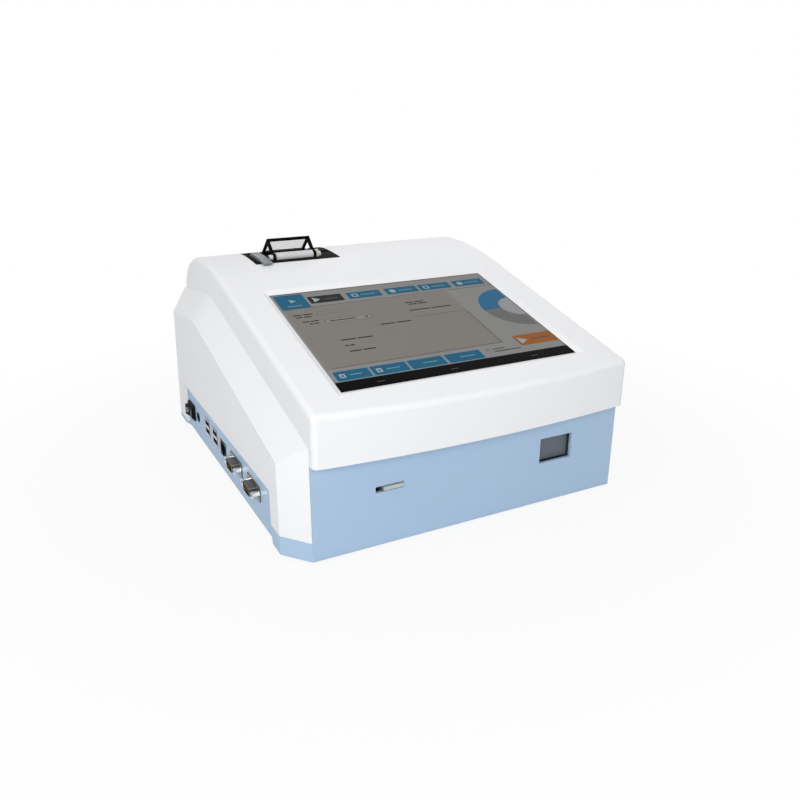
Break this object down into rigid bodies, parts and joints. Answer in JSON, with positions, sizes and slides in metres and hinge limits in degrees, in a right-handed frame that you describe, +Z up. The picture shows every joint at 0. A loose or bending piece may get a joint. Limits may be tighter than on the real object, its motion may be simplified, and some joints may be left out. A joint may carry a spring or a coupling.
{
  "type": "rapid test reader",
  "caption": "Benchtop immunoassay reader: sloped touch screen, clamshell receipt printer on top, ports and power switch on the left, motorised cartridge drawer and code chip slot in front.",
  "frame": {"origin": "middle of the object's bounding rectangle, on the bench under the feet", "axes": "+X to the right of someone facing the screen, +Y to the rear, +Z up"},
  "size_m": [0.2949, 0.3324, 0.1819],
  "materials": {
    "white_plastic": "fine satin texture",
    "blue_plastic": "fine satin texture",
    "foot_rubber": "matt",
    "screw_steel": "zinc plated",
    "screen_glass": "hard coated touch panel",
    "gasket_foam": "closed cell foam",
    "lcd_steel": "panel with steel frame",
    "bracket_steel": "galvanised sheet",
    "board_green": "solder mask",
    "standoff_brass": "turned",
    "sink_aluminium": "extruded",
    "port_nickel": "nickel plated",
    "port_black": "moulded",
    "contact_gold": "gold flashed",
    "printer_plastic": "semi-gloss black",
    "lever_plastic": "semi-gloss grey",
    "clear_pane": "clear moulding",
    "roller_rubber": "ground grey rubber",
    "gear_plastic": "natural acetal",
    "motor_steel": "drawn can",
    "head_ceramic": "glazed heater line",
    "roll_paper": "coated thermal paper",
    "core_board": "wound board",
    "tray_plastic": "satin grey",
    "chassis_plastic": "black moulding",
    "lens_glass": "polished",
    "chip_plastic": "moulded"
  },
  "bodies": {
    "unit": {"top_cover": "white_plastic", "printer_bezel": "printer_plastic", "base_tub": "blue_plastic", "rubber_feet": "foot_rubber", "casing_screws": "screw_steel", "bracket_screws": "screw_steel", "board_screws": "screw_steel", "chassis_screws": "screw_steel", "lid_hinge_pin": "screw_steel", "idler_pin": "screw_steel", "lever_pin": "screw_steel", "touch_glass": "screen_glass", "screen_gasket": "gasket_foam", "lcd_module": "lcd_steel", "lcd_bracket": "bracket_steel", "printer_frame": "bracket_steel", "main_board": "board_green", "button_board": "board_green", "board_standoffs": "standoff_brass", "heat_sink": "sink_aluminium", "serial_shell_1": "port_nickel", "serial_shell_2": "port_nickel", "serial_jackscrews": "port_nickel", "usb_stack_1": "port_nickel", "usb_stack_2": "port_nickel", "serial_inserts": "port_black", "usb_tongues": "port_black", "network_jack": "port_black", "dc_jack": "port_black", "switch_housing": "port_black", "feed_switch": "port_black", "serial_pins": "contact_gold", "jack_pin": "contact_gold", "paper_spindle": "gear_plastic", "printer_motor": "motor_steel", "drawer_motor": "motor_steel", "print_head": "head_ceramic", "reader_chassis": "chassis_plastic", "guide_rails": "chassis_plastic", "optics_head": "chassis_plastic", "chip_socket": "chassis_plastic", "optics_lens": "lens_glass"},
    "drawer": {"drawer_face": "tray_plastic", "cartridge_tray": "tray_plastic", "drawer_rack": "gear_plastic"},
    "drawer_gear": {"drawer_pinion": "gear_plastic"},
    "chip": {"code_chip": "chip_plastic"},
    "rocker": {"power_rocker": "port_black"},
    "lid": {"lid_frame": "printer_plastic", "lid_window": "clear_pane", "platen_bushes": "gear_plastic"},
    "platen": {"platen_roller": "roller_rubber", "platen_shaft": "screw_steel", "platen_gear": "gear_plastic"},
    "idler": {"idler_gear": "gear_plastic"},
    "drive": {"drive_pinion": "gear_plastic"},
    "paper": {"paper_core": "core_board", "paper_roll": "roll_paper"},
    "lever": {"release_lever": "lever_plastic"},
    "button": {"feed_button": "printer_plastic"}
  },
  "joints": [
    {"name": "drawer_slide", "type": "slide", "parent": "unit", "child": "drawer", "axis": [0, -1, 0], "range_m": [0, 0.07]},
    {"name": "drawer_gear_turn", "type": "hinge", "parent": "unit", "child": "drawer_gear", "pos_m": [0.07215, -0.1133, 0.0295], "axis": [1, 0, 0], "range_deg": [0, 501.5]},
    {"name": "chip_slide", "type": "slide", "parent": "unit", "child": "chip", "axis": [0, -1, 0], "range_m": [0, 0.02]},
    {"name": "power_rocker_turn", "type": "hinge", "parent": "unit", "child": "rocker", "pos_m": [-0.1425, 0.1192, 0.022], "axis": [0, 0, -1], "range_deg": [0, 14]},
    {"name": "printer_lid_hinge", "type": "hinge", "parent": "unit", "child": "lid", "pos_m": [-0.05, 0.1087, 0.1645], "axis": [-1, 0, 0], "range_deg": [-41, 40]},
    {"name": "platen_spin", "type": "hinge", "parent": "lid", "child": "platen", "pos_m": [-0.05, 0.0777, 0.1675], "axis": [1, 0, 0], "continuous": true},
    {"name": "idler_spin", "type": "hinge", "parent": "unit", "child": "idler", "pos_m": [-0.0286, 0.08914, 0.13828], "axis": [1, 0, 0], "continuous": true},
    {"name": "printer_drive_spin", "type": "hinge", "parent": "unit", "child": "drive", "pos_m": [-0.0286, 0.09854, 0.13486], "axis": [1, 0, 0], "continuous": true},
    {"name": "paper_roll_spin", "type": "hinge", "parent": "unit", "child": "paper", "pos_m": [-0.05, 0.0962, 0.1225], "axis": [1, 0, 0], "continuous": true},
    {"name": "release_lever_lift", "type": "hinge", "parent": "unit", "child": "lever", "pos_m": [-0.0805, 0.1027, 0.161], "axis": [-1, 0, 0], "range_deg": [0, 12], "stiffness_Nm_per_rad": 0.02, "springref_deg": -11.46},
    {"name": "feed_button_press", "type": "slide", "parent": "unit", "child": "button", "axis": [0, 0, -1], "range_m": [0, 0.0008], "stiffness_N_per_m": 600, "springref_m": -0.0008}
  ],
  "couplings": [
    {"joint": "drawer_gear_turn", "follows": "drawer_slide", "rad_per_m": 125},
    {"joint": "printer_drive_spin", "follows": "idler_spin", "ratio": -1.5}
  ]
}
